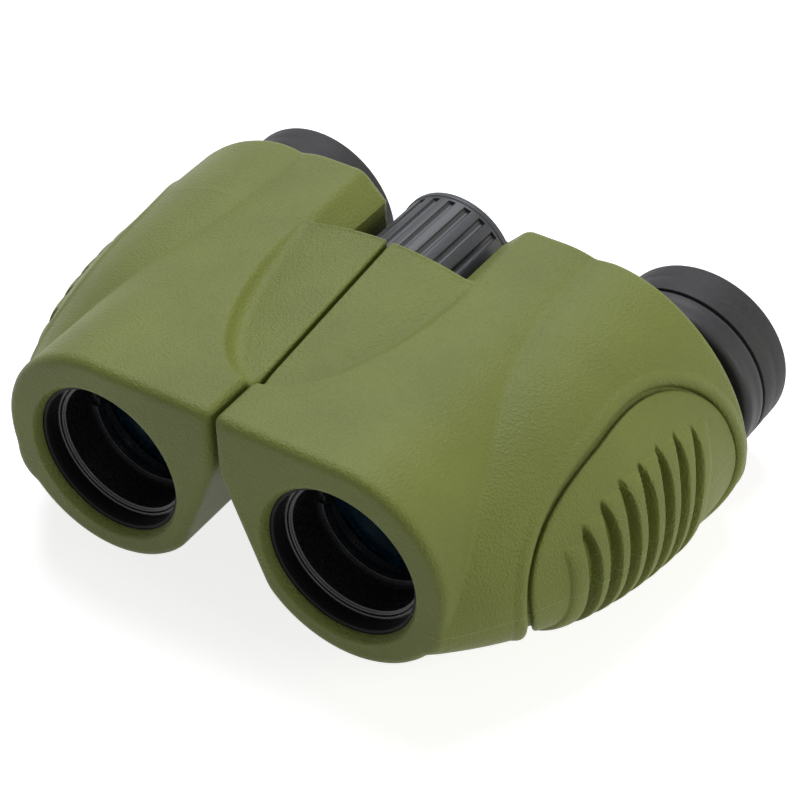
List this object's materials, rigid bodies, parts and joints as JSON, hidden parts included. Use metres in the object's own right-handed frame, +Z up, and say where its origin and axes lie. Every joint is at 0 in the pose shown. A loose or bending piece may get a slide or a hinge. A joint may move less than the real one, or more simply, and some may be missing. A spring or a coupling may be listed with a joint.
{
  "type": "compact binocular",
  "caption": "Hand-held folding binocular: rubber-armoured prism bodies on a central hinge, ribbed focus wheel, bridge with sliding eyepieces and an adjustable ocular.",
  "frame": {"origin": "centre of the bounding box's underside, on the surface that the flats under the bodies stand on, with the bodies at the widest eye spacing", "axes": "+X to the right-hand body as the user holds it, +Y from the objectives towards the eyepieces, +Z up; the hinge and the optical axes run along Y"},
  "size_m": [0.1078, 0.0784, 0.0415],
  "materials": {
    "armour_rubber": "soft-touch fine-grain rubber, olive green",
    "housing_plastic": "matt moulded fibre-filled plastic, black",
    "black_metal": "anodised black, satin",
    "bridge_metal": "die-cast, painted satin charcoal",
    "ocular_plastic": "glossy moulded black",
    "ring_plastic": "satin black",
    "eyecup_rubber": "soft black rubber",
    "wheel_rubber": "ribbed charcoal rubber on a moulded core",
    "steel": "turned steel",
    "spring_steel": "bright spring strip",
    "nut_brass": "turned brass",
    "coated_glass": "optical glass with a teal anti-reflection coating"
  },
  "bodies": {
    "left_half": {"armour_left": "armour_rubber", "housing_left": "housing_plastic", "grip_panel_left": "armour_rubber", "rear_cover_left": "housing_plastic", "objective_tube_left": "black_metal", "front_ring_left": "black_metal", "lens_ring_left": "black_metal", "crown_lens_left": "coated_glass", "flint_lens_left": "coated_glass", "prism_shelf_left": "housing_plastic", "entry_prism_left": "coated_glass", "exit_prism_left": "coated_glass", "prism_clips_left": "spring_steel", "hinge_axle": "steel", "hinge_screw": "steel", "hinge_washers": "steel", "axle_nut": "steel", "wheel_retainer": "steel"},
    "right_half": {"armour_right": "armour_rubber", "housing_right": "housing_plastic", "grip_panel_right": "armour_rubber", "rear_cover_right": "housing_plastic", "objective_tube_right": "black_metal", "front_ring_right": "black_metal", "lens_ring_right": "black_metal", "crown_lens_right": "coated_glass", "flint_lens_right": "coated_glass", "prism_shelf_right": "housing_plastic", "entry_prism_right": "coated_glass", "exit_prism_right": "coated_glass", "prism_clips_right": "spring_steel"},
    "focus_wheel": {"focus_wheel": "wheel_rubber", "focus_nut": "nut_brass"},
    "left_eyepiece": {"bridge_arm_left": "bridge_metal", "eyepiece_tube_left": "black_metal", "field_stop_left": "black_metal", "field_lens_left": "coated_glass", "eye_lens_left": "coated_glass", "ocular_cell_left": "ocular_plastic", "trim_ring_left": "ring_plastic", "eyecup_left": "eyecup_rubber", "focus_rod": "steel", "bridge_cap": "bridge_metal"},
    "right_eyepiece": {"bridge_arm_right": "bridge_metal", "eyepiece_tube_right": "black_metal", "field_stop_right": "black_metal"},
    "diopter_ring": {"diopter_ring_right": "ring_plastic"},
    "right_ocular": {"ocular_cell_right": "ocular_plastic", "field_lens_right": "coated_glass", "eye_lens_right": "coated_glass", "eyecup_right": "eyecup_rubber"}
  },
  "joints": [
    {"name": "fold_hinge", "type": "hinge", "parent": "left_half", "child": "right_half", "pos_m": [0, 0, 0.02825], "axis": [0, 1, 0], "range_deg": [0, 44]},
    {"name": "focus_turn", "type": "hinge", "parent": "left_half", "child": "focus_wheel", "pos_m": [0, 0.017, 0.02825], "axis": [0, 1, 0], "range_deg": [-108, 270]},
    {"name": "left_focus_slide", "type": "slide", "parent": "left_half", "child": "left_eyepiece", "axis": [0, 1, 0], "range_m": [-0.0012, 0.003]},
    {"name": "right_focus_slide", "type": "slide", "parent": "right_half", "child": "right_eyepiece", "axis": [0, 1, 0], "range_m": [-0.0012, 0.003]},
    {"name": "diopter_turn", "type": "hinge", "parent": "right_eyepiece", "child": "diopter_ring", "pos_m": [0.0364, 0.0288, 0.01485], "axis": [0, 1, 0], "range_deg": [-50, 50]},
    {"name": "diopter_slide", "type": "slide", "parent": "right_eyepiece", "child": "right_ocular", "axis": [0, 1, 0], "range_m": [-0.0005, 0.0005]}
  ],
  "couplings": [
    {"joint": "focus_turn", "follows": "left_focus_slide", "rad_per_m": 1570.8},
    {"joint": "right_focus_slide", "follows": "left_focus_slide", "ratio": 1},
    {"joint": "diopter_turn", "follows": "diopter_slide", "rad_per_m": 1745.3}
  ]
}
